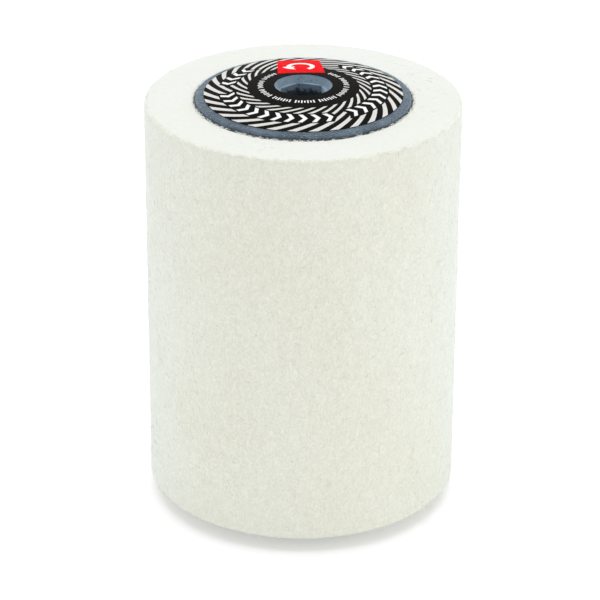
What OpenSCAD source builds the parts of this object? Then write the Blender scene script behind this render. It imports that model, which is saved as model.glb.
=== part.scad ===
// Felt polishing roller: a pressed-felt sleeve glued round a moulded core,
// driven by a hexagonal shaft through the middle of the core.
// Millimetres. +Z is the roller's axis, and Z = 0 is the core's lower end,
// on which the roller stands. -Y is the front.

/* [Felt sleeve] */
// Length of the felt sleeve, which is the roller's working width
felt_length = 100; // [60:1:150]
// Thickness of the felt, from the glue out to the working surface
felt_wall = 12; // [5:0.5:20]
// Rounding of the felt's two outer edges
felt_edge = 1; // [0.4:0.1:2]

/* [Core] */
// Diameter of the core
core_d = 52; // [36:1:90]
// How far the core's upper rim stands out of the felt
rim_above_felt = 0.8; // [0.6:0.1:5]
// How far the core's flat lower end stands out of the felt
foot_below_felt = 3.7; // [1:0.1:10]
// Radius of the crowned upper end, which is part of a sphere
crown_radius = 115; // [80:1:400]
// Chamfer on the core's two outer edges
core_chamfer = 0.4; // [0.2:0.1:0.6]

/* [Hexagonal bore] */
// Width across the flats of the drive shaft
shaft_flats = 10; // [6:0.5:14]
// Gap between the shaft's flats and the bore's, measured across the flats
shaft_clearance = 0.2; // [0.1:0.05:0.5]
// Angle from +X to the bore's first corner
hex_turn = 42; // [0:1:59]
// Ledge between the bore's corners and the bottom of each funnel
funnel_ledge = 0.15; // [0.1:0.05:0.5]
// How much wider each funnel is at its mouth than at its bottom, on the radius
funnel_flare = 0.85; // [0.5:0.05:2]
// Depth of the funnel that leads the shaft in at each end
funnel_depth = 1.7; // [1:0.1:4]

/* [Adhesive] */
// Thickness of the glue between the core and the felt
glue_line = 0.25; // [0.15:0.05:0.6]

/* [Label] */
// Thickness of the printed label on the crowned end
label_thickness = 0.1; // [0.1:0.05:0.5]
// Strip of bare core left round the outside of the label
label_border = 2; // [1:0.25:5]
// Gap between the label's hole and the funnel's mouth, on the radius
label_hole_gap = 0.1; // [0.1:0.1:1]

/* [Hidden] */
$fn = 96;

// How far a cutting shape runs past the face that it cuts
past = 1;

core_r = core_d / 2;
felt_inner_r = core_r + glue_line;
felt_outer_r = felt_inner_r + felt_wall;

// Heights, from the lower end up
felt_z = foot_below_felt;
felt_top_z = felt_z + felt_length;
rim_z = felt_top_z + rim_above_felt;

// The bore's corners, and the funnel's bottom and mouth
bore_flats = shaft_flats + shaft_clearance;
corner_r = bore_flats / 2 / cos(30);
funnel_r = corner_r + funnel_ledge;
mouth_r = funnel_r + funnel_flare;

// The crown's sphere passes through the core's upper rim, and crown_z(r) is
// the height of the crown at the radius r
crown_centre_z = rim_z - sqrt(pow(crown_radius, 2) - pow(core_r, 2));
function crown_z(r) = crown_centre_z + sqrt(pow(crown_radius, 2) - pow(r, 2));
mouth_z = crown_z(mouth_r);

label_inner_r = mouth_r + label_hole_gap;
label_outer_r = core_r - label_border;

// A round bar along Z with its two edges chamfered
module chamfered_bar(r, h, chamfer) {
    cylinder(r1 = r - chamfer, r2 = r, h = chamfer);
    translate([0, 0, chamfer]) cylinder(r = r, h = h - 2 * chamfer);
    translate([0, 0, h - chamfer]) cylinder(r1 = r, r2 = r - chamfer, h = chamfer);
}

// A ring along Z whose two outer edges are rounded
module rounded_ring(r_in, r_out, h, edge) {
    rotate_extrude() {
        translate([r_in, 0]) square([r_out - edge - r_in, h]);
        translate([r_in, edge]) square([r_out - r_in, h - 2 * edge]);
        translate([r_out - edge, edge]) circle(r = edge);
        translate([r_out - edge, h - edge]) circle(r = edge);
    }
}

// The ball that the crowned end is part of
module crown_ball(lift = 0) {
    translate([0, 0, crown_centre_z]) sphere(r = crown_radius + lift, $fn = 360);
}

// The hexagonal bore with a funnel at each end
module drive_bore() {
    slope = funnel_flare / funnel_depth;
    translate([0, 0, -past]) rotate(hex_turn)
        cylinder(r = corner_r, h = mouth_z + 2 * past, $fn = 6);
    translate([0, 0, -past])
        cylinder(r1 = mouth_r + slope * past, r2 = funnel_r, h = funnel_depth + past);
    translate([0, 0, mouth_z - funnel_depth])
        cylinder(r1 = funnel_r, r2 = mouth_r + slope * past, h = funnel_depth + past);
}

// Moulded core: flat and chamfered at the lower end, crowned at the upper one
module core() {
    crown_rise = mouth_z - rim_z + past;
    color("slategray") difference() {
        intersection() {
            union() {
                chamfered_bar(core_r, rim_z, core_chamfer);
                translate([0, 0, rim_z - past])
                    cylinder(r = core_r - core_chamfer, h = past + crown_rise);
            }
            crown_ball();
        }
        drive_bore();
    }
}

// Film of glue that fills the gap between the core and the felt
module adhesive_layer() {
    color("dimgray") translate([0, 0, felt_z]) difference() {
        cylinder(r = felt_inner_r, h = felt_length);
        translate([0, 0, -past]) cylinder(r = core_r, h = felt_length + 2 * past);
    }
}

// Seamless sleeve of pressed felt
module felt_sleeve() {
    color("ivory") translate([0, 0, felt_z])
        rounded_ring(felt_inner_r, felt_outer_r, felt_length, felt_edge);
}

// Printed disc that follows the crown and has a hole round the funnel's mouth
module label() {
    label_z = crown_z(label_outer_r) - past;
    color("crimson") difference() {
        intersection() {
            translate([0, 0, label_z])
                cylinder(r = label_outer_r, h = mouth_z - label_z + past);
            crown_ball(label_thickness);
        }
        crown_ball();
        translate([0, 0, label_z - past])
            cylinder(r = label_inner_r, h = mouth_z - label_z + 3 * past);
    }
}

core();
adhesive_layer();
felt_sleeve();
label();
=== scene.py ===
"""Looks of the felt polishing roller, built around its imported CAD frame.

The roller stands on its flat end. Its pieces are a moulded foam core with a hexagonal bore, a ragged glue
line, a sleeve of pressed felt with loose fibres, and a printed label on the core's crowned end. Lengths are
metres, in the frame's own axes: +Z is the roller's axis and -Y is the front.
"""

import logging
import math
import random
from dataclasses import dataclass
from enum import Enum
from typing import Callable, Iterable

import bmesh
import bpy
from bmesh.types import BMEdge, BMesh, BMFace, BMVert
from mathutils import Matrix, Vector, noise


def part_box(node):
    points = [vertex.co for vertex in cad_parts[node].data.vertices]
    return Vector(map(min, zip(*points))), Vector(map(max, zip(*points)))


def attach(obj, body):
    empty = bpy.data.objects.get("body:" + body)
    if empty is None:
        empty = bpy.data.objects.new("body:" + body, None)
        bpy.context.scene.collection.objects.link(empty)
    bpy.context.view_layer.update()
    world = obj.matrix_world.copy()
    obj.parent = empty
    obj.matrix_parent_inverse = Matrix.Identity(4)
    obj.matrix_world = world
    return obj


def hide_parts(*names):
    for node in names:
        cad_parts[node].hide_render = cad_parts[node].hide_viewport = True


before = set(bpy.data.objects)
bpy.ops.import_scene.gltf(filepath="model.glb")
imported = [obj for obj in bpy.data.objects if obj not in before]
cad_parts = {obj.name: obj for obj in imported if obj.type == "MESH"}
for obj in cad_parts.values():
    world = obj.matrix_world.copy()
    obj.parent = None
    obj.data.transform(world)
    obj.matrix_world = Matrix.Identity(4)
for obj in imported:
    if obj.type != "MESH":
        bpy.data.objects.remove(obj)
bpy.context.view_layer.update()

LOG = logging.getLogger("roller")
ROOT = "root"
MM = 0.001
FULL_TURN = 2 * math.pi

Colour = tuple[float, float, float]
Plan = tuple[float, float]
Socket = bpy.types.NodeSocket
Paint = Colour | Socket


def srgb(red: int, green: int, blue: int) -> Colour:
    """Turn a colour as it is seen on a screen into the linear one that a shader takes.

    Args:
        red: Red from 0 to 255.
        green: Green from 0 to 255.
        blue: Blue from 0 to 255.

    Returns:
        The linear colour, from 0 to 1.
    """

    def linear(level: int) -> float:
        """Undo the screen's curve for one channel."""
        share = level / 255
        return share / 12.92 if share <= 0.04045 else ((share + 0.055) / 1.055) ** 2.4

    return linear(red), linear(green), linear(blue)


def polar(radius: float, angle: float) -> Plan:
    """Give the plan position at a radius and an angle from +X."""
    return radius * math.cos(angle), radius * math.sin(angle)


def steps(low: float, high: float, count: int) -> list[float]:
    """Split a stretch evenly.

    Args:
        low: First value.
        high: Last value.
        count: Number of equal steps between them.

    Returns:
        The count + 1 values, ends included.
    """
    return [low + (high - low) * i / count for i in range(count + 1)]


# ---------------------------------------------------------------- sizes taken from the frame


@dataclass(frozen=True)
class Crown:
    """The ball that the core's upper end is part of.

    Attributes:
        radius: Radius of the ball.
        centre_z: Height of its centre, on the roller's axis.
    """

    radius: float
    centre_z: float

    @classmethod
    def through(cls, inner: Plan, outer: Plan) -> "Crown":
        """Fit the ball to two points of its outline.

        Args:
            inner: Radius and height of the point nearer the axis.
            outer: Radius and height of the point further out.

        Returns:
            The crown whose surface passes through both.
        """
        (r1, z1), (r2, z2) = inner, outer
        centre_z = (r1**2 + z1**2 - r2**2 - z2**2) / (2 * (z1 - z2))
        return cls(math.hypot(r1, z1 - centre_z), centre_z)

    def height(self, radius: float) -> float:
        """Give the crown's height at a distance from the axis."""
        return self.centre_z + math.sqrt(self.radius**2 - radius**2)

    def lay(self, plan: Plan, lift: float) -> Vector:
        """Lay a plan position on the crown.

        Args:
            plan: The x and y of the point.
            lift: How far above the crown's surface the point goes.

        Returns:
            The point in space.
        """
        x, y = plan
        return Vector((x, y, self.height(math.hypot(x, y)) + lift))


@dataclass(frozen=True)
class RollerSizes:
    """Sizes that the pieces share, all measured on the frame's CAD nodes."""

    core_r: float
    core_top_z: float
    mouth_r: float
    funnel_r: float
    funnel_depth: float
    bore_flats: float
    bore_turn: float
    felt_inner_r: float
    felt_outer_r: float
    felt_low_z: float
    felt_top_z: float
    label_inner_r: float
    label_outer_r: float
    label_thickness: float
    crown: Crown

    @classmethod
    def from_frame(cls) -> "RollerSizes":
        """Measure the CAD nodes.

        Returns:
            The shared sizes.
        """
        near = 0.02 * MM
        core = [v.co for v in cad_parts["core"].data.vertices]
        label = [v.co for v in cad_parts["label"].data.vertices]
        core_top_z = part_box("core")[1].z
        core_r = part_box("core")[1].x
        top = [c for c in core if c.z > core_top_z - near]
        mouth_r = sum(c.xy.length for c in top) / len(top)
        inside = [c for c in core if c.xy.length < mouth_r - near and c.z > core_top_z / 2]
        ledge_z = min(c.z for c in inside)
        ledge = [c.xy.length for c in inside if c.z < ledge_z + near]
        corner = min(inside, key=lambda c: c.xy.length)
        label_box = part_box("label")
        label_outer_r = label_box[1].x
        crown = Crown.through((mouth_r, core_top_z), (label_outer_r, label_box[0].z))
        label_inner_r = min(c.xy.length for c in label)
        return cls(
            core_r=core_r,
            core_top_z=core_top_z,
            mouth_r=mouth_r,
            funnel_r=max(ledge),
            funnel_depth=core_top_z - ledge_z,
            bore_flats=2 * corner.xy.length * math.cos(math.radians(30)),
            bore_turn=math.atan2(corner.y, corner.x),
            felt_inner_r=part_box("adhesive_layer")[1].x,
            felt_outer_r=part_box("felt_sleeve")[1].x,
            felt_low_z=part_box("felt_sleeve")[0].z,
            felt_top_z=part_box("felt_sleeve")[1].z,
            label_inner_r=label_inner_r,
            label_outer_r=label_outer_r,
            label_thickness=label_box[1].z - crown.height(label_inner_r),
            crown=crown,
        )


# ---------------------------------------------------------------- mesh making


@dataclass(frozen=True)
class Hoop:
    """One ring of a loft about the roller's axis.

    Attributes:
        z: Height of the ring.
        reach: The ring's radius, or a function that gives it for an angle.
    """

    z: float
    reach: float | Callable[[float], float]

    def shape(self, verts: Iterable[BMVert]) -> None:
        """Move a ring of vertices onto this hoop, each at its own angle.

        Args:
            verts: The vertices to move.
        """
        for vert in verts:
            angle = math.atan2(vert.co.y, vert.co.x)
            radius = self.reach(angle) if callable(self.reach) else self.reach
            vert.co = Vector((*polar(radius, angle), self.z))


def loft(hoops: list[Hoop], segments: int, turn: float = 0.0) -> BMesh:
    """Sweep a closed outline round the axis, hoop by hoop.

    Args:
        hoops: The rings in order round the outline, which closes on its first ring.
        segments: Number of vertices in each ring.
        turn: Angle of the first vertex of each ring.

    Returns:
        A closed mesh with its normals outwards.
    """
    bm = bmesh.new()
    bmesh.ops.create_circle(bm, segments=segments, radius=1.0)
    start = bm.verts[:]
    first_angle = math.atan2(start[0].co.y, start[0].co.x)
    about_z = Matrix.Rotation(turn - first_angle, 3, "Z")
    bmesh.ops.rotate(bm, verts=start, matrix=about_z)
    edges = bm.edges[:]
    hoops[0].shape(start)
    for hoop in hoops[1:] + hoops[:1]:
        ring = bmesh.ops.extrude_edge_only(bm, edges=edges)["geom"]
        edges = [part for part in ring if isinstance(part, BMEdge)]
        hoop.shape(part for part in ring if isinstance(part, BMVert))
    bmesh.ops.remove_doubles(bm, verts=bm.verts, dist=0.0005 * MM)
    bmesh.ops.recalc_face_normals(bm, faces=bm.faces)
    return bm


def rounded_corner(centre: Plan, radius: float, start: float, end: float, count: int) -> list[Hoop]:
    """Give the hoops of a rounded edge.

    Args:
        centre: Radius and height of the rounding's own centre.
        radius: The rounding's radius.
        start: Angle of its first point, in degrees from outwards.
        end: Angle of its last point.
        count: Number of steps.

    Returns:
        The hoops along the rounding.
    """
    turns = [math.radians(a) for a in steps(start, end, count)]
    return [
        Hoop(centre[1] + radius * math.sin(a), centre[0] + radius * math.cos(a)) for a in turns
    ]


def roughen(bm: BMesh, relief: Callable[[Vector, Vector], float]) -> None:
    """Push each vertex along its normal.

    Args:
        bm: The mesh to change.
        relief: Gives the push for a position and its normal.
    """
    bm.normal_update()
    for vert, push in [(v, relief(v.co, v.normal)) for v in bm.verts]:
        vert.co += vert.normal * push


def lumps(at: Vector, size: float, stretch: float = 1.0) -> float:
    """Give smooth random relief.

    Args:
        at: Position on the piece.
        size: Width of one lump.
        stretch: How many times longer than wide a lump is along the axis.

    Returns:
        A value from about -1 to 1.
    """
    return noise.noise(Vector((at.x, at.y, at.z / stretch)) / size)


def add_piece(
    bm: BMesh, name: str, materials: list[bpy.types.Material], sharp: float = 50.0
) -> bpy.types.Object:
    """Turn a mesh into a finished piece that rides on the roller.

    Args:
        bm: The mesh, which is freed.
        name: Name of the piece.
        materials: Its materials, in the order of the faces' material numbers.
        sharp: Edges that turn by more than this many degrees stay sharp.

    Returns:
        The new object.
    """
    mesh = bpy.data.meshes.new(name)
    bm.to_mesh(mesh)
    bm.free()
    for material in materials:
        mesh.materials.append(material)
    mesh.shade_smooth()
    mesh.set_sharp_from_angle(angle=math.radians(sharp))
    piece = bpy.data.objects.new(name, mesh)
    bpy.context.scene.collection.objects.link(piece)
    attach(piece, ROOT)
    LOG.info("%s: %d faces", name, len(mesh.polygons))
    return piece


# ---------------------------------------------------------------- finishes


class NodePad:
    """A node tree, with short ways to add nodes to it and wire them."""

    def __init__(self, tree: bpy.types.NodeTree) -> None:
        """Keep the tree that nodes are added to."""
        self.tree = tree

    def add(
        self, kind: str, inputs: dict[str | int, object] | None = None, **settings: object
    ) -> bpy.types.Node:
        """Add one node.

        Args:
            kind: The node's type, without its ShaderNode prefix.
            inputs: For each input's name or number, a value or the socket wired to it.
            settings: Properties of the node itself.

        Returns:
            The new node.
        """
        node = self.tree.nodes.new("ShaderNode" + kind)
        for name, value in settings.items():
            setattr(node, name, value)
        for key, value in (inputs or {}).items():
            if isinstance(value, Socket):
                self.tree.links.new(value, node.inputs[key])
            else:
                node.inputs[key].default_value = value
        return node

    def effect(self, group: bpy.types.NodeTree, **inputs: object) -> Socket:
        """Place a shared effect.

        Args:
            group: The effect's node group.
            inputs: Its values, by name with _ for a space.

        Returns:
            The effect's output.
        """
        node = self.add("Group", node_tree=group)
        for name, value in inputs.items():
            node.inputs[name.replace("_", " ")].default_value = value
        return node.outputs[0]

    def blend(self, share: Socket, low: Paint, high: Paint) -> Socket:
        """Mix two colours.

        Args:
            share: How much of the second shows, as a socket.
            low: The first colour, or a socket.
            high: The second colour, or a socket.

        Returns:
            The mixed colour.
        """
        low, high = (c if isinstance(c, Socket) else (*c, 1.0) for c in (low, high))
        node = self.add("Mix", {0: share, 6: low, 7: high}, data_type="RGBA")
        return node.outputs[2]

    def scaled(self, value: Socket, share: float) -> Socket:
        """Give a share of a value."""
        return self.add("Math", {0: value, 1: share}, operation="MULTIPLY").outputs[0]

    def sum(self, first: Socket, second: Socket, share: float) -> Socket:
        """Add a share of a second value to a first.

        Args:
            first: The value that counts in full.
            second: The value that counts in part.
            share: How much of the second is added, and below 0 it is taken away.

        Returns:
            The sum.
        """
        node = self.add("Math", {0: second, 1: share, 2: first}, operation="MULTIPLY_ADD")
        return node.outputs[0]


def new_group(
    name: str, sockets: dict[str, float]
) -> tuple[NodePad, bpy.types.Node, bpy.types.Node]:
    """Start a node group with number inputs and one Mask output.

    Args:
        name: The effect's name.
        sockets: Each input's name and its usual value.

    Returns:
        The group's pad, its input node and its output node.
    """
    tree = bpy.data.node_groups.new(name, "ShaderNodeTree")
    for label, value in sockets.items():
        socket = tree.interface.new_socket(label, in_out="INPUT", socket_type="NodeSocketFloat")
        socket.default_value = value
    tree.interface.new_socket("Mask", in_out="OUTPUT", socket_type="NodeSocketFloat")
    return NodePad(tree), tree.nodes.new("NodeGroupInput"), tree.nodes.new("NodeGroupOutput")


class Effects:
    """The effects that several finishes share, each built once as a node group."""

    def __init__(self) -> None:
        """Build the three groups."""
        self.cloud = self._cloud()
        self.fibres = self._fibres()
        self.specks = self._specks()

    @staticmethod
    def _coordinates(pad: NodePad, entry: bpy.types.Node) -> Socket:
        """Scale the piece's own coordinates so that one unit is one grain.

        Args:
            pad: The group's pad.
            entry: Its input node, with Size in millimetres and Stretch along the axis.

        Returns:
            The scaled position.
        """
        position = pad.add("TexCoord").outputs["Object"]
        squash = pad.add("Math", {0: 1.0, 1: entry.outputs["Stretch"]}, operation="DIVIDE")
        axes = pad.add("CombineXYZ", {0: 1.0, 1: 1.0, 2: squash.outputs[0]})
        squashed = pad.add(
            "VectorMath", {0: position, 1: axes.outputs[0]}, operation="MULTIPLY"
        )
        grains = pad.add("Math", {0: 1 / MM, 1: entry.outputs["Size"]}, operation="DIVIDE")
        scaled = pad.add(
            "VectorMath", {0: squashed.outputs[0], "Scale": grains.outputs[0]}, operation="SCALE"
        )
        return scaled.outputs[0]

    def _cloud(self) -> bpy.types.NodeTree:
        """Build soft random patches between a low and a high level.

        Returns:
            The node group.
        """
        pad, entry, leave = new_group(
            "cloud", {"Size": 10.0, "Stretch": 1.0, "Low": 0.35, "High": 0.65}
        )
        pattern = pad.add(
            "TexNoise", {"Vector": self._coordinates(pad, entry), "Scale": 1.0, "Detail": 4.0}
        )
        level = pad.add(
            "MapRange",
            {0: pattern.outputs[0], 1: entry.outputs["Low"], 2: entry.outputs["High"]},
        )
        pad.tree.links.new(level.outputs[0], leave.inputs[0])
        return pad.tree

    def _fibres(self) -> bpy.types.NodeTree:
        """Build fine crossing strands, bright along the middle of each.

        Returns:
            The node group.
        """
        pad, entry, leave = new_group("fibres", {"Size": 0.6, "Stretch": 2.0, "Sharpness": 4.0})
        where = self._coordinates(pad, entry)
        pattern = pad.add(
            "TexNoise",
            {"Vector": where, "Scale": 1.0, "Detail": 3.0, "Roughness": 0.65, "Distortion": 1.2},
        )
        centred = pad.add("Math", {0: pattern.outputs[0], 1: 0.5}, operation="SUBTRACT")
        away = pad.add("Math", {0: centred.outputs[0]}, operation="ABSOLUTE")
        width = pad.add(
            "Math", {0: away.outputs[0], 1: entry.outputs["Sharpness"]}, operation="MULTIPLY"
        )
        ridge = pad.add(
            "Math", {0: 1.0, 1: width.outputs[0]}, operation="SUBTRACT", use_clamp=True
        )
        pad.tree.links.new(ridge.outputs[0], leave.inputs[0])
        return pad.tree

    def _specks(self) -> bpy.types.NodeTree:
        """Build scattered small spots, whose number and size the inputs set.

        Returns:
            The node group.
        """
        pad, entry, leave = new_group(
            "specks", {"Size": 1.0, "Stretch": 1.0, "Share": 0.15, "Spot": 0.3}
        )
        where = self._coordinates(pad, entry)
        cells = pad.add("TexVoronoi", {"Vector": where, "Scale": 1.0})
        spot = pad.add(
            "MapRange",
            {0: cells.outputs["Distance"], 1: entry.outputs["Spot"], 2: 0.0},
        )
        chance = pad.add("SeparateColor", {0: cells.outputs["Color"]})
        kept = pad.add(
            "Math", {0: chance.outputs[0], 1: entry.outputs["Share"]}, operation="LESS_THAN"
        )
        mask = pad.add("Math", {0: spot.outputs[0], 1: kept.outputs[0]}, operation="MULTIPLY")
        pad.tree.links.new(mask.outputs[0], leave.inputs[0])
        return pad.tree


def start_material(name: str) -> tuple[bpy.types.Material, NodePad, bpy.types.Node]:
    """Make an empty material with its main shader.

    Args:
        name: The material's name.

    Returns:
        The material, its node pad and its Principled shader.
    """
    material = bpy.data.materials.new(name)
    material.use_nodes = True
    material.node_tree.nodes.clear()
    pad = NodePad(material.node_tree)
    shader = pad.add("BsdfPrincipled")
    pad.add("OutputMaterial", {"Surface": shader.outputs[0]})
    return material, pad, shader


def set_relief(pad: NodePad, shader: bpy.types.Node, height: Socket, depth: float) -> None:
    """Give a shader fine relief.

    Args:
        pad: The material's node pad.
        shader: Its Principled shader.
        height: The relief, from 0 to 1.
        depth: Real depth of the relief.
    """
    bump = pad.add("Bump", {"Height": height, "Distance": depth, "Strength": 1.0})
    pad.tree.links.new(bump.outputs[0], shader.inputs["Normal"])


@dataclass(frozen=True)
class FeltFinish:
    """Pressed wool felt: off-white, matt and fibrous, with a soft sheen and a few stray specks, with
    painted highlights on its raised fibres and painted shade in the gaps and creases between them.

    Attributes:
        effects: The shared effects.
        grain: How much the fibres show, which is 1 in full and less where the felt is cut smooth.
        pale: Its usual colour.
        warm: The colour of its warmer patches.
        painted_gap_shade: The colour of the gaps between fibres, a painted shade.
        painted_strand_highlight: The colour of the raised fibres on top, a painted highlight.
        stray: The colour of the stray specks.
        fine_share: How much the painted shade in the fine gaps shows.
        curl_share: How much the painted highlight on the curled fibres shows.
        crease_share: How much the painted shade in the creases between them shows.
        relief: Depth of the fibres' relief.
    """

    effects: Effects
    grain: float = 1.0
    pale: Colour = srgb(237, 238, 225)
    warm: Colour = srgb(234, 234, 218)
    painted_gap_shade: Colour = srgb(198, 197, 182)
    painted_strand_highlight: Colour = srgb(254, 254, 249)
    stray: Colour = srgb(204, 200, 180)
    fine_share: float = 0.22
    curl_share: float = 0.4
    crease_share: float = 0.2
    relief: float = 0.02 * MM

    def material(self, name: str) -> bpy.types.Material:
        """Build the felt's material.

        Args:
            name: The material's name.

        Returns:
            The material.
        """
        material, pad, shader = start_material(name)
        effects = self.effects
        tone = pad.effect(effects.cloud, Size=26.0, Stretch=1.6, Low=0.36, High=0.66)
        curls = pad.effect(effects.fibres, Size=1.5, Stretch=1.7, Sharpness=20.0)
        creases = pad.effect(effects.fibres, Size=1.2, Stretch=1.7, Sharpness=20.0)
        fine = pad.effect(effects.cloud, Size=0.5, Stretch=1.7, Low=0.4, High=0.75)
        bits = pad.effect(effects.specks, Size=2.4, Stretch=1.3, Share=0.12, Spot=0.11)
        base = pad.blend(tone, self.pale, self.warm)
        # Painted shade in the fine gaps and creases and a painted highlight on the raised curls, each laid
        # where the relief below sinks or rises.
        base = pad.blend(pad.scaled(fine, self.fine_share * self.grain), base, self.painted_gap_shade)
        base = pad.blend(pad.scaled(curls, self.curl_share * self.grain), base, self.painted_strand_highlight)
        base = pad.blend(pad.scaled(creases, self.crease_share * self.grain), base, self.painted_gap_shade)
        base = pad.blend(pad.scaled(bits, self.grain), base, self.stray)
        pad.tree.links.new(base, shader.inputs["Base Color"])
        height = pad.sum(curls, fine, -0.5)
        height = pad.sum(height, creases, -1.0)
        set_relief(pad, shader, height, self.relief * self.grain)
        shader.inputs["Roughness"].default_value = 0.95
        shader.inputs["Specular IOR Level"].default_value = 0.1
        shader.inputs["Sheen Weight"].default_value = 0.6
        shader.inputs["Sheen Roughness"].default_value = 0.5
        shader.inputs["Sheen Tint"].default_value = (0.86, 0.95, 1.0, 1.0)
        return material


@dataclass(frozen=True)
class PaintedBoreShade:
    """Painted shade along the deep middle of a bore, with a ragged start at each end.

    Attributes:
        middle_z: Height of the shaded length's middle.
        half_length: Half the shaded length.
        colour: The painted shade's colour.
        fade: Half the length over which it starts.
        ragged: How far its start wanders along the bore.
    """

    middle_z: float
    half_length: float
    colour: Colour = srgb(34, 43, 52)
    fade: float = 0.25 * MM
    ragged: float = 1.6 * MM

    def over(self, pad: NodePad, effects: Effects, base: Socket) -> Socket:
        """Lay the painted shade over a colour.

        Args:
            pad: The material's node pad.
            effects: The shared effects.
            base: The colour without the painted shade.

        Returns:
            The colour with the painted shade on it.
        """
        position = pad.add("TexCoord").outputs["Object"]
        height = pad.add("SeparateXYZ", {0: position}).outputs[2]
        rise = pad.add("Math", {0: height, 1: self.middle_z}, operation="SUBTRACT").outputs[0]
        away = pad.add("Math", {0: rise}, operation="ABSOLUTE").outputs[0]
        wander = pad.effect(effects.cloud, Size=1.1, Stretch=1.0, Low=0.3, High=0.7)
        start = pad.sum(away, wander, self.ragged)
        unshaded, shaded = self.half_length + self.fade, self.half_length - self.fade
        share = pad.add("MapRange", {0: start, 1: unshaded, 2: shaded}).outputs[0]
        return pad.blend(share, base, self.colour)


@dataclass(frozen=True)
class FoamFinish:
    """The core's dense blue-grey foam, with paler and darker grains where it is cut.

    Attributes:
        effects: The shared effects.
        base: Its usual colour.
        pale: The colour of its pale grains and patches.
        dark: The colour of its pores.
        pore_share: How many of the places for a pore have one.
        glint_share: How many of the places for a pale grain have one.
        depth: Depth of the grain's relief.
        bore_shade: The painted shade along it, where it has any.
    """

    effects: Effects
    base: Colour
    pale: Colour
    dark: Colour
    pore_share: float
    glint_share: float
    depth: float
    bore_shade: PaintedBoreShade | None = None

    def material(self, name: str) -> bpy.types.Material:
        """Build the foam's material.

        Args:
            name: The material's name.

        Returns:
            The material.
        """
        material, pad, shader = start_material(name)
        effects = self.effects
        tone = pad.effect(effects.cloud, Size=5.0, Stretch=1.0, Low=0.45, High=1.3)
        grains = pad.effect(effects.cloud, Size=0.38, Stretch=1.0, Low=0.45, High=0.7)
        pores = pad.effect(effects.specks, Size=0.6, Stretch=1.0, Share=self.pore_share, Spot=0.5)
        glints = pad.effect(effects.specks, Size=0.5, Stretch=1.0, Share=self.glint_share, Spot=0.4)
        base = pad.blend(tone, self.base, self.pale)
        base = pad.blend(pores, base, self.dark)
        base = pad.blend(glints, base, self.pale)
        # Painted shade along the deep middle of the bore, where little light reaches.
        if self.bore_shade:
            base = self.bore_shade.over(pad, effects, base)
        pad.tree.links.new(base, shader.inputs["Base Color"])
        set_relief(pad, shader, pad.sum(grains, pores, -0.9), self.depth)
        shader.inputs["Roughness"].default_value = 0.5
        shader.inputs["Specular IOR Level"].default_value = 0.7
        shader.inputs["Sheen Weight"].default_value = 0.9
        shader.inputs["Sheen Roughness"].default_value = 0.35
        shader.inputs["Sheen Tint"].default_value = (0.66, 0.86, 1.0, 1.0)
        shader.inputs["Specular Tint"].default_value = (0.8, 0.92, 1.0, 1.0)
        return material


@dataclass(frozen=True)
class GlueFinish:
    """Dried contact glue: nearly black, lumpy, with a dull shine; its darkness at the joint also serves as
    painted shade.
    """

    effects: Effects
    base: Colour = srgb(40, 44, 50)
    dusty: Colour = srgb(92, 96, 100)
    relief: float = 0.08 * MM

    def material(self, name: str) -> bpy.types.Material:
        """Build the glue's material.

        Args:
            name: The material's name.

        Returns:
            The material.
        """
        material, pad, shader = start_material(name)
        blobs = pad.effect(self.effects.cloud, Size=0.7, Stretch=1.0, Low=0.45, High=0.75)
        base = pad.blend(blobs, self.base, self.dusty)
        pad.tree.links.new(base, shader.inputs["Base Color"])
        set_relief(pad, shader, blobs, self.relief)
        shader.inputs["Roughness"].default_value = 0.55
        return material


class Ink(Enum):
    """The label's printing inks, each with its colour."""

    BLACK = srgb(20, 20, 18)
    OFF_WHITE = srgb(215, 212, 207)
    WHITE = srgb(236, 236, 234)
    RED = srgb(228, 6, 18)


@dataclass(frozen=True)
class InkFinish:
    """A printed ink on satin vinyl, with a faint mottle and a few dust specks.

    Attributes:
        effects: The shared effects.
        ink: Which ink it is.
        smooth: Roughness where the ink lies smoothest.
        dull: Roughness where it is most rubbed.
        relief: Depth of the mottle.
    """

    effects: Effects
    ink: Ink
    smooth: float = 0.46
    dull: float = 0.58
    relief: float = 0.004 * MM

    def _greyed(self, keep: float, lift: float) -> Colour:
        """Give the ink's colour with a share of it kept and some grey added."""
        return tuple(keep * level + lift for level in self.ink.value)

    def material(self) -> bpy.types.Material:
        """Build the ink's material.

        Returns:
            The material, named after the ink.
        """
        material, pad, shader = start_material(f"ink_{self.ink.name.lower()}")
        effects = self.effects
        mottle = pad.effect(effects.cloud, Size=1.6, Stretch=1.0, Low=0.4, High=0.7)
        dust = pad.effect(effects.specks, Size=1.3, Stretch=1.0, Share=0.06, Spot=0.09)
        base = pad.blend(mottle, self.ink.value, self._greyed(keep=0.92, lift=0.002))
        base = pad.blend(dust, base, self._greyed(keep=0.7, lift=0.16))
        pad.tree.links.new(base, shader.inputs["Base Color"])
        gloss = pad.add("MapRange", {0: mottle, 3: self.smooth, 4: self.dull})
        pad.tree.links.new(gloss.outputs[0], shader.inputs["Roughness"])
        set_relief(pad, shader, mottle, self.relief)
        shader.inputs["Specular IOR Level"].default_value = 0.01
        return material


@dataclass(frozen=True)
class PaperFinish:
    """The seamless white paper that the roller stands on."""

    colour: Colour = (0.92, 0.92, 0.92)
    glow: float = 0.2

    def material(self) -> bpy.types.Material:
        """Build the paper's material.

        Returns:
            The material.
        """
        material, _, shader = start_material("studio_paper")
        shader.inputs["Base Color"].default_value = (*self.colour, 1.0)
        shader.inputs["Roughness"].default_value = 1.0
        shader.inputs["Specular IOR Level"].default_value = 0.0
        shader.inputs["Emission Color"].default_value = (1.0, 1.0, 1.0, 1.0)
        shader.inputs["Emission Strength"].default_value = self.glow
        return material


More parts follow.
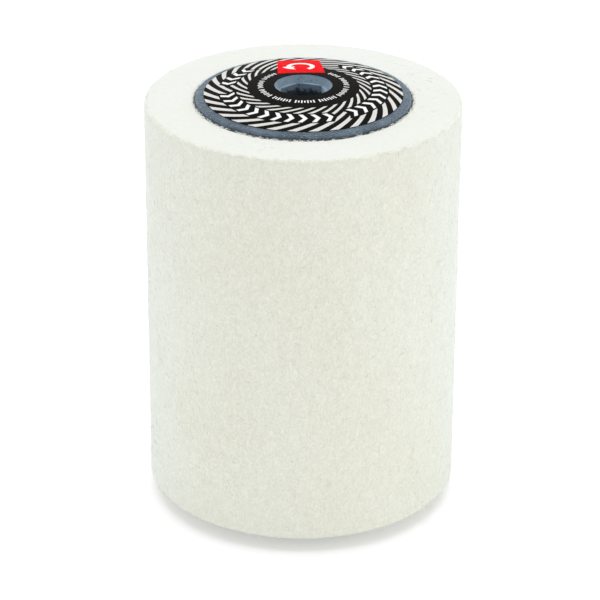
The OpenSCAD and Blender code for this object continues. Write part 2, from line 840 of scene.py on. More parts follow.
# ---------------------------------------------------------------- the roller's pieces


class Face(Enum):
    """The directions that the felt's surfaces face, in degrees up from outwards."""

    WALL = 0.0
    UPPER_EDGE = 45.0
    LOWER_EDGE = -45.0
    UPPER_END = 90.0
    JOINT = 115.0


class FeltPart(Enum):
    """The parts of the sleeve that differ in finish, numbered as its materials are."""

    WALL = 0
    # The two ends, which take a darker copy of the wall's felt as painted shade.
    END = 1


class FoamPart(Enum):
    """The parts of the core that differ in finish, numbered as its materials are."""

    CUT_END = 0
    # The upright side, which takes a lighter copy of the cut foam as painted light.
    SIDE = 1
    BORE = 2


@dataclass(frozen=True)
class Tuft:
    """Loose fibres that stand on one part of the felt.

    Attributes:
        face: Which way the felt faces there.
        count: Number of places that fibres grow from.
        length: Usual length of one fibre.
        radii: Lowest and highest distance of their roots from the axis.
        heights: Lowest and highest place of their roots along the axis.
        lie: How flat they lie, where more is flatter.
        strands: Number of fibres that grow from each place.
        spread: How far the fibres of one place may stand apart.
    """

    face: Face
    count: int
    length: float
    radii: Plan
    heights: Plan
    lie: float = 1.0
    strands: int = 1
    spread: float = 0.15 * MM

    def grow(self, curve: bpy.types.Curve, chance: random.Random) -> None:
        """Add the fibres to a curve.

        Args:
            curve: The curve that the fibres share.
            chance: The source of their random shapes.
        """
        for _ in range(self.count):
            angle = chance.uniform(0, FULL_TURN)
            radius = chance.uniform(*self.radii)
            height = chance.uniform(*self.heights)
            for _ in range(self.strands):
                shift = chance.uniform(-self.spread, self.spread) / radius
                self._fibre(curve, chance, angle + shift, radius, height)

    def _fibre(
        self,
        curve: bpy.types.Curve,
        chance: random.Random,
        angle: float,
        radius: float,
        height: float,
    ) -> None:
        """Add one curled fibre.

        Args:
            curve: The curve that the fibres share.
            chance: The source of its random shape.
            angle: Angle of its root from +X.
            radius: Distance of its root from the axis.
            height: Height of its root.
        """
        outward = Vector((*polar(1.0, angle), 0.0))
        around = Vector((-outward.y, outward.x, 0.0))
        tilt = math.radians(self.face.value)
        normal = outward * math.cos(tilt) + Vector((0, 0, math.sin(tilt)))
        across = around.cross(normal)
        heading = chance.uniform(0, FULL_TURN)
        along = across * math.cos(heading) + around * math.sin(heading)
        side = normal.cross(along)
        reach = self.length * chance.uniform(0.5, 1.4)
        rise = reach * chance.triangular(0.02, 0.6, 0.12) / self.lie
        curl = reach * chance.uniform(-0.8, 0.8)
        root = outward * radius + Vector((0, 0, height))
        spline = curve.splines.new("POLY")
        spline.points.add(3)
        for share, point in zip((0, 0.35, 0.7, 1.0), spline.points):
            arch = math.sin(share * math.pi * 0.62)
            place = root + along * reach * share + side * curl * share * share + normal * rise * arch
            point.co = (*place, 1.0)
            point.radius = 1.0 - 0.6 * share


@dataclass
class FeltSleeve:
    """The thick sleeve of pressed felt, and the loose fibres that stand off it.

    Attributes:
        sizes: The shared sizes.
        finish: The wall's finish.
        painted_shade_end_finish: The finish of its two ends, the wall's felt made darker as painted shade.
        loose_finish: The loose fibres' finish, a lighter copy of the wall's felt as a painted highlight.
        outer_round: Rounding of its outer edges.
        inner_round: Rounding of its edges at the joint with the core.
        segments: Faces round it.
        wall_steps: Faces along its wall.
        face_steps: Faces across each end.
        edge_steps: Faces round each outer edge.
        joint_steps: Faces round each inner edge.
        end_slope: A face belongs to an end when its normal rises or falls by more than this.
        fibre_radius: Radius of a loose fibre at its root.
        skin: How deep the loose fibres are rooted.
        seed: Seed of their random shapes.
    """

    sizes: RollerSizes
    finish: FeltFinish
    painted_shade_end_finish: FeltFinish
    loose_finish: FeltFinish
    outer_round: float = 1.0 * MM
    inner_round: float = 0.45 * MM
    segments: int = 440
    wall_steps: int = 104
    face_steps: int = 18
    edge_steps: int = 5
    joint_steps: int = 4
    end_slope: float = 0.9
    fibre_radius: float = 0.05 * MM
    skin: float = 0.1 * MM
    seed: int = 7

    def build(self) -> None:
        """Make the sleeve and its loose fibres."""
        # The ends take a darker copy of the wall's felt, as painted shade.
        materials = [self.finish.material("felt"), self.painted_shade_end_finish.material("felt_end_painted_shade")]
        # The loose fibres take a lighter copy of the wall's felt, as a painted highlight.
        loose = self.loose_finish.material("loose_felt_painted_highlight")
        body = self._sleeve()
        body.normal_update()
        for face in body.faces:
            part = FeltPart.END if abs(face.normal.z) > self.end_slope else FeltPart.WALL
            face.material_index = part.value
        sleeve = add_piece(body, "felt_sleeve_body", materials, sharp=80.0)
        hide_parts("felt_sleeve")
        self._loose_fibres("felt_edge_fibres", self._edge_tufts(), loose)
        self._loose_fibres("felt_surface_fibres", self._surface_tufts(), loose)

    def _edge_tufts(self) -> tuple[Tuft, ...]:
        """List the loose fibres along the edges.

        Returns:
            The tufts on the upper and lower edges and at the upper joint.
        """
        s = self.sizes
        edge_r = s.felt_outer_r - 0.35 * self.outer_round
        top, low = s.felt_top_z, s.felt_low_z
        upper = (top - 0.4 * self.outer_round, top - 0.3 * self.outer_round)
        lower = (low + 0.3 * self.outer_round, low + 0.4 * self.outer_round)
        joint = (s.felt_inner_r + 0.02 * MM, s.felt_inner_r + 0.4 * MM)
        at_joint = (top - self.skin, top)
        edge_length, joint_length = 0.7 * MM, 0.5 * MM
        return (
            Tuft(Face.UPPER_EDGE, 900, edge_length, (edge_r, edge_r), upper, lie=2.0),
            Tuft(Face.LOWER_EDGE, 700, edge_length, (edge_r, edge_r), lower, lie=2.0),
            Tuft(Face.JOINT, 300, joint_length, joint, at_joint, lie=0.8, strands=8),
        )

    def _surface_tufts(self) -> tuple[Tuft, ...]:
        """List the loose fibres on the broad surfaces.

        Returns:
            The tufts on the upper end and on the wall.
        """
        s = self.sizes
        across = (s.felt_inner_r + 0.4 * MM, s.felt_outer_r - 0.35 * self.outer_round)
        top_root, wall_root = s.felt_top_z - self.skin, s.felt_outer_r - self.skin
        along = (s.felt_low_z, s.felt_top_z)
        end_length, wall_length = 1.2 * MM, 1.5 * MM
        return (
            Tuft(Face.UPPER_END, 300, end_length, across, (top_root, top_root), lie=4.0),
            Tuft(Face.WALL, 4800, wall_length, (wall_root, wall_root), along, lie=1.8),
        )

    def _sleeve(self) -> BMesh:
        """Shape the sleeve.

        Returns:
            Its mesh, roughened like felt.
        """
        s = self.sizes
        out, inn = self.outer_round, self.inner_round
        low, top = s.felt_low_z, s.felt_top_z
        rim, bore = s.felt_outer_r - out, s.felt_inner_r + inn
        faces = steps(bore, rim, self.face_steps)[1:-1]
        wall = steps(low + out, top - out, self.wall_steps)[1:-1]
        hoops = rounded_corner((rim, low + out), out, -90, 0, self.edge_steps)
        hoops += [Hoop(z, s.felt_outer_r) for z in wall]
        hoops += rounded_corner((rim, top - out), out, 0, 90, self.edge_steps)
        hoops += [Hoop(top, r) for r in reversed(faces)]
        hoops += rounded_corner((bore, top - inn), inn, 90, 180, self.joint_steps)
        hoops += rounded_corner((bore, low + inn), inn, 180, 270, self.joint_steps)
        hoops += [Hoop(low, r) for r in faces]
        bm = loft(hoops, self.segments)
        roughen(bm, self._relief)
        return bm

    def _relief(self, at: Vector, normal: Vector) -> float:
        """Give the felt's own unevenness.

        Args:
            at: Position on the sleeve.
            normal: The surface's direction there; not used.

        Returns:
            How far the surface moves out.
        """
        s = self.sizes
        off_joint = at.xy.length - s.felt_inner_r
        if off_joint < self.inner_round / 4:
            return 0.0
        fray = 0.14 * lumps(at, 0.7 * MM) if off_joint < MM else 0.0
        swell = 0.10 * lumps(at, 14 * MM, 1.6)
        tufts = 0.05 * lumps(at, 1.7 * MM, 2.4)
        elsewhere, settled = Vector((0.03, 0, 0)), 0.02
        nap = 0.03 * lumps(at + elsewhere, 0.9 * MM, 1.5)
        return (swell + tufts + nap + fray - settled) * MM

    def _loose_fibres(self, name: str, tufts: tuple[Tuft, ...], material: bpy.types.Material) -> None:
        """Make one piece of loose fibres.

        Args:
            name: The piece's name.
            tufts: The tufts in it.
            material: The fibres' material.
        """
        chance = random.Random(self.seed + len(tufts))
        curve = bpy.data.curves.new(name + "_lines", "CURVE")
        curve.dimensions = "3D"
        curve.bevel_depth = self.fibre_radius
        curve.bevel_resolution = 0
        curve.use_fill_caps = True
        for tuft in tufts:
            tuft.grow(curve, chance)
        holder = bpy.data.objects.new(name + "_lines", curve)
        bpy.context.scene.collection.objects.link(holder)
        bpy.context.view_layer.update()
        mesh = bpy.data.meshes.new_from_object(holder)
        bpy.data.objects.remove(holder)
        bpy.data.curves.remove(curve)
        bm = bmesh.new()
        bm.from_mesh(mesh)
        bpy.data.meshes.remove(mesh)
        add_piece(bm, name, [material], sharp=180.0)


@dataclass
class FoamCore:
    """The moulded core: crowned on top, flat below, with a hexagonal bore right through it.

    Attributes:
        sizes: The shared sizes.
        cut: The finish of its cut ends.
        side: The finish of its side, where it stands out of the felt: a lighter copy of the cut foam, as
            painted light.
        moulded: The finish of its bore, with painted shade along the bore's deep middle.
        rim_round: Rounding of its upper edge.
        foot_round: Rounding of its lower edge.
        side_slope: A face belongs to the side when its normal rises or falls by less than this.
        segments: Faces round it.
        bore_steps: Faces along the bore.
        funnel_steps: Faces along each funnel.
        covered_steps: Faces across the crown under the label.
        bare_steps: Faces across the crown outside the label.
        rim_steps: Faces round the upper edge.
        collar_steps: Faces along the side above the felt.
        buried_steps: Faces along the side inside the felt.
        foot_steps: Faces along the side below the felt.
        foot_edge_steps: Faces round the lower edge.
        end_steps: Faces across the lower end.
    """

    sizes: RollerSizes
    cut: FoamFinish
    side: FoamFinish
    moulded: FoamFinish
    rim_round: float = 0.6 * MM
    foot_round: float = 0.45 * MM
    side_slope: float = 0.7
    segments: int = 480
    bore_steps: int = 60
    funnel_steps: int = 6
    covered_steps: int = 10
    bare_steps: int = 12
    rim_steps: int = 8
    collar_steps: int = 7
    buried_steps: int = 8
    foot_steps: int = 8
    foot_edge_steps: int = 5
    end_steps: int = 34

    def build(self) -> None:
        """Make the core."""
        # The side takes a lighter copy of the cut foam, as painted light on the upright side.
        finishes = {"cut_foam": self.cut, "side_foam_painted_light": self.side, "bore_foam": self.moulded}
        materials = [finish.material(name) for name, finish in finishes.items()]
        body = self._body()
        body.normal_update()
        for face in body.faces:
            face.material_index = self._part_of(face).value
        core = add_piece(body, "core_body", materials, sharp=42.0)
        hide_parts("core")

    def _part_of(self, face: BMFace) -> FoamPart:
        """Tell which part of the core a face is on.

        Args:
            face: The face, with its normal up to date.

        Returns:
            The part.
        """
        if face.calc_center_median().xy.length < self.sizes.mouth_r:
            return FoamPart.BORE
        return FoamPart.SIDE if abs(face.normal.z) < self.side_slope else FoamPart.CUT_END

    def _hexagon(self, angle: float) -> float:
        """Give the bore's radius.

        Args:
            angle: Angle from +X.

        Returns:
            The distance from the axis to the bore's wall at that angle.
        """
        sixth = math.radians(60)
        off_flat = (angle - self.sizes.bore_turn) % sixth - sixth / 2
        return self.sizes.bore_flats / 2 / math.cos(off_flat)

    def _body(self) -> BMesh:
        """Shape the core.

        Returns:
            Its mesh, with the grain of a sawn surface where it shows.
        """
        s = self.sizes
        crown, ball = s.crown, s.crown.radius
        low_ledge, high_ledge = s.funnel_depth, s.core_top_z - s.funnel_depth
        levels = steps(low_ledge, high_ledge, self.bore_steps)
        hoops = [Hoop(z, self._hexagon) for z in levels]
        hoops += self._funnel(high_ledge, s.core_top_z)
        covered = steps(s.mouth_r, s.label_outer_r - 0.4 * MM, self.covered_steps)
        hoops += [Hoop(crown.height(r), r) for r in covered[1:]]
        rim = s.core_r - self.rim_round
        rim_z = crown.centre_z + math.sqrt((ball - self.rim_round) ** 2 - rim**2)
        slope = math.degrees(math.atan2(rim_z - crown.centre_z, rim))
        bare = steps(covered[-1], rim * ball / (ball - self.rim_round), self.bare_steps)
        hoops += [Hoop(crown.height(r), r) for r in bare[1:-1]]
        hoops += reversed(rounded_corner((rim, rim_z), self.rim_round, 0, slope, self.rim_steps))
        side = steps(rim_z, s.felt_top_z, self.collar_steps)[1:]
        side += steps(s.felt_top_z, s.felt_low_z, self.buried_steps)[1:]
        side += steps(s.felt_low_z, self.foot_round, self.foot_steps)[1:-1]
        hoops += [Hoop(z, s.core_r) for z in side]
        foot = s.core_r - self.foot_round
        edge = rounded_corner((foot, self.foot_round), self.foot_round, -90, 0, self.foot_edge_steps)
        hoops += reversed(edge)
        hoops += [Hoop(0.0, r) for r in steps(foot, s.mouth_r, self.end_steps)[1:-1]]
        hoops += reversed(self._funnel(low_ledge, 0.0))
        bm = loft(hoops, self.segments, s.bore_turn)
        roughen(bm, self._relief)
        return bm

    def _funnel(self, ledge_z: float, face_z: float) -> list[Hoop]:
        """Shape one funnel, from the ledge at its bottom to its mouth.

        Args:
            ledge_z: Height of the ledge.
            face_z: Height of the core's end at the mouth.

        Returns:
            The funnel's hoops, outwards.
        """
        s = self.sizes
        heights = steps(ledge_z, face_z, self.funnel_steps)
        radii = steps(s.funnel_r, s.mouth_r, self.funnel_steps)
        return [Hoop(z, r) for z, r in zip(heights, radii)]

    def _relief(self, at: Vector, normal: Vector) -> float:
        """Give the foam's own unevenness.

        Args:
            at: Position on the core.
            normal: The surface's direction there; not used.

        Returns:
            How far the surface moves out, and never below the lower end.
        """
        s = self.sizes
        radius = at.xy.length
        beside_felt = s.felt_low_z < at.z < s.felt_top_z and radius > s.mouth_r + MM
        under_label = s.mouth_r - 0.1 * MM < radius < s.label_outer_r and at.z > s.felt_top_z
        if beside_felt or under_label:
            return 0.0
        fine, coarse, sunk = 0.06 * lumps(at, 0.55 * MM), 0.07 * lumps(at, 1.6 * MM), 0.04
        grain = fine + coarse - sunk
        return min(grain, 0.0) * MM if at.z < self.foot_round else grain * MM


@dataclass
class GlueLine:
    """The glue between the core and the felt, whose dark ragged edge shows at both ends and also serves as
    painted shade along the joint.

    Attributes:
        sizes: The shared sizes.
        finish: The glue's finish.
        spread: How far its widest places spread over the felt.
        segments: Faces round it.
        bead: Points of its edge, each with a height past the felt's end in millimetres and a share of
            the spread.
    """

    sizes: RollerSizes
    finish: GlueFinish
    spread: float = 0.38 * MM
    segments: int = 720
    bead: tuple[Plan, ...] = ((-0.9, 0.0), (-0.35, 0.4), (-0.12, 1.0), (0.05, 0.8), (0.12, 0.3))

    def build(self) -> None:
        """Make the glue line."""
        material = self.finish.material("glue")
        # The dark glue bead spread over the felt's inner edge: real glue, and painted shade along the
        # joint.
        glue = add_piece(self._ring(), "glue_line", [material])
        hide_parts("adhesive_layer")

    def _ragged(self, share: float, seed_z: float) -> Callable[[float], float]:
        """Give a ragged edge that spreads over the felt's inner edge.

        Args:
            share: How much of the full spread it takes.
            seed_z: Height that sets where it is wide.

        Returns:
            The function from an angle to the edge's radius.
        """

        least, usual, swing = 0.04, 0.4, 0.8

        def reach(angle: float) -> float:
            """Add the spread to the joint's radius.

            Args:
                angle: Angle from +X.

            Returns:
                The edge's radius there.
            """
            at = Vector((*polar(self.sizes.core_r, angle), seed_z))
            wander = lumps(at, 1.1 * MM) + 0.7 * lumps(at, 0.4 * MM)
            return self.sizes.felt_inner_r + share * self.spread * max(least, usual + swing * wander)

        return reach

    def _ring(self) -> BMesh:
        """Shape the glue.

        Returns:
            A thin tube with a ragged bead at both ends.
        """
        s = self.sizes
        low, top = s.felt_low_z, s.felt_top_z
        inner = s.core_r - 0.05 * MM
        hoops = [Hoop(low - rise * MM, self._ragged(share, low)) for rise, share in reversed(self.bead)]
        hoops += [Hoop(top + rise * MM, self._ragged(share, top)) for rise, share in self.bead]
        hoops += [Hoop(z, inner) for z in (top + 0.1 * MM, low - 0.1 * MM)]
        return loft(hoops, self.segments)


@dataclass(frozen=True)
class ChevronRow:
    """A run of evenly spaced chevrons.

    Attributes:
        start: Angle of its first chevron from +X, in degrees.
        count: Number of chevrons.
    """

    start: float
    count: int


@dataclass
class Label:
    """The printed disc on the crowned end.

    A black disc carries a swirl of pale rays, a ring of chevrons, a ring of ticks, and a red panel with
    a turning arrow. Each print lies a film's thickness over the last.

    Attributes:
        sizes: The shared sizes.
        effects: The shared effects.
        ray_count, ray_inner_r, ray_margin: How many rays there are, where they start, and how far
            short of the disc's edge they end.
        ray_lean, ray_turn, ray_share, ray_taper: The rays' angle to the radius, the first one's place,
            how much of the ring they cover, and how much of their width they lose at their inner end.
        chevron_r, chevron_height, chevron_width, chevron_lean, chevron_pitch: The chevrons' middle
            radius, their height along it, their stroke, how far their points lean, and their spacing.
        chevron_rows: The runs of chevrons.
        outline: Width of the black border round the chevrons.
        tick_r, tick_height, tick_width, tick_pitch: The ticks' middle radius, size and spacing.
        tick_low: Height of every second tick, as a share of the others.
        tick_set: Each set has one tick fewer than this, and then a gap.
        tick_gap_half: Half the angle that the ticks leave free for the panel.
        panel_centre, panel_size, panel_taper, panel_turn: The panel's place and shape.
        arrow_centre, arrow_r, arrow_width: The arrow's place, radius and stroke.
        arrow_start, arrow_sweep, arrow_head, arrow_flare: Where its band starts and how far it turns,
            the angle of its head, and half the head's width as a share of the stroke.
        film: Thickness of one layer of print.
        segments: Faces round the disc.
        disc_steps: Faces across the disc.
    """

    sizes: RollerSizes
    effects: Effects
    ray_count: int = 30
    ray_inner_r: float = 13.5 * MM
    ray_margin: float = 0.05 * MM
    ray_lean: float = math.radians(58.3)
    ray_turn: float = math.radians(4.8)
    ray_share: float = 0.45
    ray_taper: float = 0.16
    chevron_r: float = 18.5 * MM
    chevron_height: float = 3.4 * MM
    chevron_width: float = 1.1 * MM
    chevron_lean: float = 1.2 * MM
    chevron_pitch: float = math.radians(9.6)
    chevron_rows: tuple[ChevronRow, ...] = (
        ChevronRow(137, 4),
        ChevronRow(191, 11),
        ChevronRow(308, 12),
    )
    outline: float = 0.45 * MM
    tick_r: float = 10.35 * MM
    tick_height: float = 1.35 * MM
    tick_width: float = 0.34 * MM
    tick_pitch: float = math.radians(4.0)
    tick_low: float = 0.72
    tick_set: int = 8
    tick_gap_half: float = math.radians(34)
    panel_centre: Plan = (-0.9 * MM, 14.5 * MM)
    panel_size: Plan = (10.9 * MM, 12.8 * MM)
    panel_taper: float = 0.06
    panel_turn: float = math.radians(3.4)
    arrow_centre: Plan = (-0.7 * MM, 13.7 * MM)
    arrow_r: float = 2.9 * MM
    arrow_width: float = 1.15 * MM
    arrow_start: float = math.radians(-50)
    arrow_sweep: float = math.radians(235)
    arrow_head: float = math.radians(62)
    arrow_flare: float = 1.35
    film: float = 0.02 * MM
    segments: int = 360
    disc_steps: int = 22

    def build(self) -> None:
        """Make the disc and then each layer of its print."""
        inks = {ink: InkFinish(self.effects, ink).material() for ink in Ink}
        disc = add_piece(self._disc(), "label_disc", [inks[Ink.BLACK]])
        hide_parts("label")
        layers = (
            ("label_rays", Ink.OFF_WHITE, self._rays, 1),
            ("label_ticks", Ink.WHITE, self._ticks, 1),
            ("label_chevron_borders", Ink.BLACK, self._chevron_borders, 2),
            ("label_panel", Ink.RED, self._panel, 2),
            ("label_chevrons", Ink.WHITE, self._chevrons, 3),
            ("label_arrow", Ink.WHITE, self._arrow, 3),
        )
        for name, ink, draw, level in layers:
            bm = bmesh.new()
            draw(bm)
            self._print(bm, level)
            add_piece(bm, name, [inks[ink]], sharp=30.0)

    def _disc(self) -> BMesh:
        """Shape the disc, which follows the crown.

        Returns:
            Its mesh.
        """
        s = self.sizes
        radii = steps(s.label_inner_r, s.label_outer_r, self.disc_steps)
        hoops = [Hoop(s.crown.height(r) + s.label_thickness, r) for r in radii]
        hoops += [Hoop(s.crown.height(r), r) for r in reversed(radii)]
        return loft(hoops, self.segments)

    def _patch(
        self, bm: BMesh, columns: int, rows: int, place: Callable[[float, float], Plan]
    ) -> None:
        """Add one printed patch, in plan.

        Args:
            bm: The layer's mesh.
            columns: Faces across the patch.
            rows: Faces along it.
            place: Gives the plan position for an across and an along, each from -1 to 1.
        """
        grid = bmesh.ops.create_grid(bm, x_segments=columns, y_segments=rows, size=1.0)
        for vert in grid["verts"]:
            vert.co = Vector((*place(vert.co.x, vert.co.y), 0.0))

    def _print(self, bm: BMesh, level: int) -> None:
        """Lay a flat layer on the disc and give it its thickness.

        Args:
            bm: The layer's mesh, in plan.
            level: How many films high its top is.
        """
        s = self.sizes
        depth = level * self.film
        bmesh.ops.remove_doubles(bm, verts=bm.verts, dist=0.001 * MM)
        bm.normal_update()
        bmesh.ops.reverse_faces(bm, faces=[f for f in bm.faces if f.normal.z < 0])
        for vert in bm.verts:
            vert.co = s.crown.lay((vert.co.x, vert.co.y), s.label_thickness + depth)
        bmesh.ops.solidify(bm, geom=bm.faces[:], thickness=depth)
        bmesh.ops.recalc_face_normals(bm, faces=bm.faces)

    def _rays(self, bm: BMesh) -> None:
        """Draw the swirl of rays, which trail clockwise as they go out and keep one angle to the radius.

        Args:
            bm: The layer's mesh.
        """
        inner, outer = self.ray_inner_r, self.sizes.label_outer_r - self.ray_margin
        pitch = FULL_TURN / self.ray_count

        def ray(middle: float) -> Callable[[float, float], Plan]:
            """Shape one ray.

            Args:
                middle: Angle at which it starts.

            Returns:
                The function that places its points.
            """

            def place(across: float, along: float) -> Plan:
                """Place a point of the ray.

                Args:
                    across: How far across the ray, from -1 to 1.
                    along: How far out along it, from -1 to 1.

                Returns:
                    The point in plan.
                """
                share = (along + 1) / 2
                radius = inner + (outer - inner) * share
                trail = math.tan(self.ray_lean) * math.log(radius / inner)
                half = pitch * self.ray_share * (1 - self.ray_taper + self.ray_taper * share) / 2
                return polar(radius, middle - trail + across * half)

            return place

        for i in range(self.ray_count):
            self._patch(bm, 2, 18, ray(self.ray_turn + i * pitch))

    def _chevron_ring(self, bm: BMesh, half_width: float, half_height: float) -> None:
        """Draw all the chevrons.

        Args:
            bm: The layer's mesh.
            half_width: Half the width of a chevron's stroke.
            half_height: Half its height, along the radius.
        """

        def chevron(middle: float) -> Callable[[float, float], Plan]:
            """Shape one chevron.

            Args:
                middle: Angle at which it stands.

            Returns:
                The function that places its points.
            """

            def place(across: float, along: float) -> Plan:
                """Place a point of the chevron.

                Args:
                    across: How far across its stroke, from -1 to 1.
                    along: How far out along it, from -1 to 1.

                Returns:
                    The point in plan.
                """
                radius = self.chevron_r + along * half_height
                lean = self.chevron_lean * (1 - abs(along) * half_height / (self.chevron_height / 2))
                return polar(radius, middle + (lean + across * half_width) / radius)

            return place

        for row in self.chevron_rows:
            for i in range(row.count):
                self._patch(bm, 1, 6, chevron(math.radians(row.start) + i * self.chevron_pitch))

    def _chevrons(self, bm: BMesh) -> None:
        """Draw the white chevrons."""
        self._chevron_ring(bm, self.chevron_width / 2, self.chevron_height / 2)

    def _chevron_borders(self, bm: BMesh) -> None:
        """Draw the black borders under the chevrons, so wide that each meets the next."""
        half_pitch = self.chevron_pitch * (self.chevron_r + self.chevron_height / 2) / 2
        self._chevron_ring(bm, half_pitch + self.film, self.chevron_height / 2 + self.outline)

    def _ticks(self, bm: BMesh) -> None:
        """Draw the ring of ticks, in sets with gaps, clear of the panel.

        Args:
            bm: The layer's mesh.
        """
        panel_angle = math.radians(90)

        def tick(middle: float, height: float) -> Callable[[float, float], Plan]:
            """Shape one tick.

            Args:
                middle: Angle at which it stands.
                height: Its height along the radius.

            Returns:
                The function that places its points.
            """

            def place(across: float, along: float) -> Plan:
                """Place a point of the tick."""
                radius = self.tick_r + along * height / 2
                return polar(radius, middle + across * self.tick_width / 2 / radius)

            return place

        for i in range(round(FULL_TURN / self.tick_pitch)):
            middle = i * self.tick_pitch
            off_panel = abs((middle - panel_angle + math.pi) % FULL_TURN - math.pi)
            if off_panel > self.tick_gap_half and i % self.tick_set:
                height = self.tick_height * (1.0 if i % 2 else self.tick_low)
                self._patch(bm, 1, 2, tick(middle, height))

    def _panel(self, bm: BMesh) -> None:
        """Draw the red panel.

        Args:
            bm: The layer's mesh.
        """
        cx, cy = self.panel_centre
        width, height = self.panel_size
        cos, sin = math.cos(self.panel_turn), math.sin(self.panel_turn)

        def place(across: float, along: float) -> Plan:
            """Place a point of the panel.

            Args:
                across: How far across it, from -1 to 1.
                along: How far up it, from -1 to 1.

            Returns:
                The point in plan.
            """
            x = across * width / 2 * (1 - self.panel_taper * along)
            y = along * height / 2
            return cx + x * cos - y * sin, cy + x * sin + y * cos

        self._patch(bm, 14, 18, place)

    def _arrow(self, bm: BMesh) -> None:
        """Draw the turning arrow: a round band and its head.

        Args:
            bm: The layer's mesh.
        """
        cx, cy = self.arrow_centre

        def band(across: float, along: float) -> Plan:
            """Place a point of the band.

            Args:
                across: How far across its stroke, from -1 to 1.
                along: How far round it, from -1 to 1.

            Returns:
                The point in plan.
            """
            angle = self.arrow_start + self.arrow_sweep * (along + 1) / 2
            x, y = polar(self.arrow_r + across * self.arrow_width / 2, angle)
            return cx + x, cy + y

        def tip(across: float, along: float) -> Plan:
            """Place a point of the head.

            Args:
                across: How far across it, from -1 to 1.
                along: How far towards its tip, from -1 to 1.

            Returns:
                The point in plan.
            """
            share = (along + 1) / 2
            angle = self.arrow_start + self.arrow_sweep + self.arrow_head * share
            half = self.arrow_width * self.arrow_flare * (1 - share)
            x, y = polar(self.arrow_r + across * half, angle)
            return cx + x, cy + y

        self._patch(bm, 1, 28, band)
        self._patch(bm, 4, 8, tip)


# ---------------------------------------------------------------- the studio


@dataclass(frozen=True)
class SoftBox:
    """One large soft lamp.

    Attributes:
        name: The lamp's name.
        place: Where it stands.
        size: Its width and height.
        power: Its power in watts.
        tint: Its colour.
    """

    name: str
    place: tuple[float, float, float]
    size: Plan
    power: float
    tint: Colour = (1.0, 1.0, 1.0)

    def hang(self, aim: Vector) -> None:
        """Add the lamp to the scene.

        Args:
            aim: The point that it faces.
        """
        data = bpy.data.lights.new(self.name, "AREA")
        data.shape = "RECTANGLE"
        data.size, data.size_y = self.size
        data.energy = self.power
        data.color = self.tint
        lamp = bpy.data.objects.new(self.name, data)
        bpy.context.scene.collection.objects.link(lamp)
        lamp.location = self.place
        lamp.rotation_euler = (aim - Vector(self.place)).to_track_quat("-Z", "Y").to_euler()


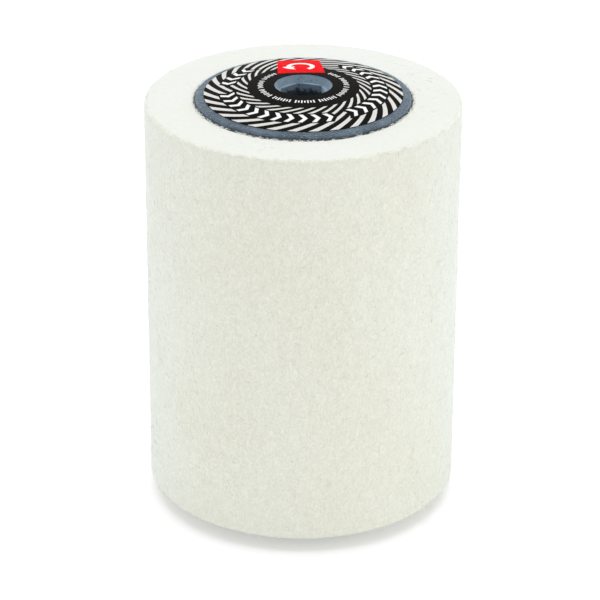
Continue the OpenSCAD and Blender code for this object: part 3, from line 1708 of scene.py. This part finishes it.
@dataclass
class Studio:
    """Plain white paper, soft lamps and the camera.

    Attributes:
        sizes: The shared sizes.
        camera_pitch: How far the camera looks down.
        camera_roll: How far it is turned about its own line of sight.
        camera_distance: Its distance from the point that it faces.
        aim_x: Sideways place of that point.
        aim_z: Height of that point.
        lens: Focal length in millimetres, on a sensor of sensor_width.
        sensor_width: Width of the sensor in millimetres.
        paper_size: Half the width of the paper.
        paper_gap: How far the paper lies under the roller.
        sky_strength: Strength of the even light from all round.
        sky_colour: Colour of that light.
        boxes: The soft lamps.
    """

    sizes: RollerSizes
    camera_pitch: float = math.radians(25.67)
    camera_roll: float = math.radians(0.30)
    camera_distance: float = 710.0 * MM
    aim_x: float = -0.55 * MM
    aim_z: float = 50.1 * MM
    lens: float = 171.5
    sensor_width: float = 36.0
    paper_size: float = 4.0
    paper_gap: float = 0.02 * MM
    sky_strength: float = 0.64
    sky_colour: Colour = (1.0, 1.0, 0.985)
    boxes: tuple[SoftBox, ...] = (
        SoftBox("top_box", (0.0, 0.15, 1.1), (1.2, 1.2), 8.3, (0.935, 0.955, 1.0)),
        SoftBox("back_box", (0.0, 1.4, 0.4), (2.4, 0.8), 3.0, (0.95, 0.98, 1.0)),
        SoftBox("right_box", (1.0, -0.25, 0.45), (0.8, 0.9), 1.5),
        SoftBox("left_box", (-1.0, 0.1, 0.45), (0.8, 0.9), 0.5, (0.96, 0.98, 1.0)),
    )

    def build(self) -> None:
        """Set up the paper, the lamps and the camera."""
        self._paper()
        self._lamps()
        self._camera()

    def _paper(self) -> None:
        """Lay the paper just under the roller."""
        bm = bmesh.new()
        bmesh.ops.create_grid(bm, x_segments=1, y_segments=1, size=self.paper_size)
        bmesh.ops.translate(bm, verts=bm.verts, vec=(0, 0, -self.paper_gap))
        mesh = bpy.data.meshes.new("studio_paper")
        bm.to_mesh(mesh)
        bm.free()
        mesh.materials.append(PaperFinish().material())
        paper = bpy.data.objects.new("studio_paper", mesh)
        bpy.context.scene.collection.objects.link(paper)

    def _lamps(self) -> None:
        """Hang the lamps and light the surroundings."""
        aim = Vector((0, 0, self.sizes.felt_top_z / 2))
        for box in self.boxes:
            box.hang(aim)
        world = bpy.data.worlds.new("studio_surroundings")
        world.use_nodes = True
        sky = world.node_tree.nodes["Background"]
        sky.inputs["Color"].default_value = (*self.sky_colour, 1.0)
        sky.inputs["Strength"].default_value = self.sky_strength
        bpy.context.scene.world = world
        bpy.context.scene.view_settings.view_transform = "Standard"

    def _camera(self) -> None:
        """Place the camera in front of the roller, looking down at it."""
        pitch, roll = self.camera_pitch, self.camera_roll
        aim = Vector((self.aim_x, 0, self.aim_z))
        forward = Vector((0, math.cos(pitch), -math.sin(pitch)))
        level = Vector((1, 0, 0))
        right = level * math.cos(roll) + level.cross(forward) * math.sin(roll)
        up = right.cross(forward)
        data = bpy.data.cameras.new("camera")
        data.lens = self.lens
        data.sensor_width = self.sensor_width
        camera = bpy.data.objects.new("camera", data)
        bpy.context.scene.collection.objects.link(camera)
        turn = Matrix((right, up, -forward)).transposed().to_4x4()
        camera.matrix_world = Matrix.Translation(aim - forward * self.camera_distance) @ turn
        bpy.context.scene.camera = camera


def main() -> None:
    """Build the roller's looks and the studio."""
    logging.basicConfig(level=logging.INFO, format="%(name)s: %(message)s")
    sizes = RollerSizes.from_frame()
    effects = Effects()
    cut = FoamFinish(
        effects,
        base=srgb(46, 60, 76),
        pale=srgb(136, 154, 170),
        dark=srgb(14, 22, 34),
        pore_share=0.55,
        glint_share=0.28,
        depth=0.16 * MM,
    )
    # A lighter copy of the cut foam for the core's upright side, as painted light.
    side = FoamFinish(
        effects,
        base=srgb(70, 85, 101),
        pale=srgb(158, 176, 190),
        dark=srgb(30, 38, 50),
        pore_share=0.5,
        glint_share=0.28,
        depth=0.12 * MM,
    )
    # Painted shade along the bore's deep middle, which starts a little way in from each ledge.
    middle_z, shade_start = sizes.core_top_z / 2, 0.6 * MM
    moulded = FoamFinish(
        effects,
        base=srgb(116, 135, 151),
        pale=srgb(144, 163, 178),
        dark=srgb(70, 85, 101),
        pore_share=0.26,
        glint_share=0.12,
        depth=0.06 * MM,
        bore_shade=PaintedBoreShade(middle_z, half_length=middle_z - sizes.funnel_depth - shade_start),
    )
    FoamCore(sizes, cut, side, moulded).build()
    GlueLine(sizes, GlueFinish(effects)).build()
    wall = FeltFinish(effects)
    # A darker copy of the wall's felt for the two ends, as painted shade, with less grain.
    end = FeltFinish(effects, grain=0.35, pale=srgb(227, 227, 219), warm=srgb(224, 225, 214))
    # A lighter copy of the wall's felt for the loose fibres, as a painted highlight.
    loose = FeltFinish(effects, pale=srgb(253, 253, 246), warm=srgb(250, 250, 240))
    FeltSleeve(sizes, wall, end, loose).build()
    Label(sizes, effects).build()
    Studio(sizes).build()


if __name__ == "__main__":
    main()
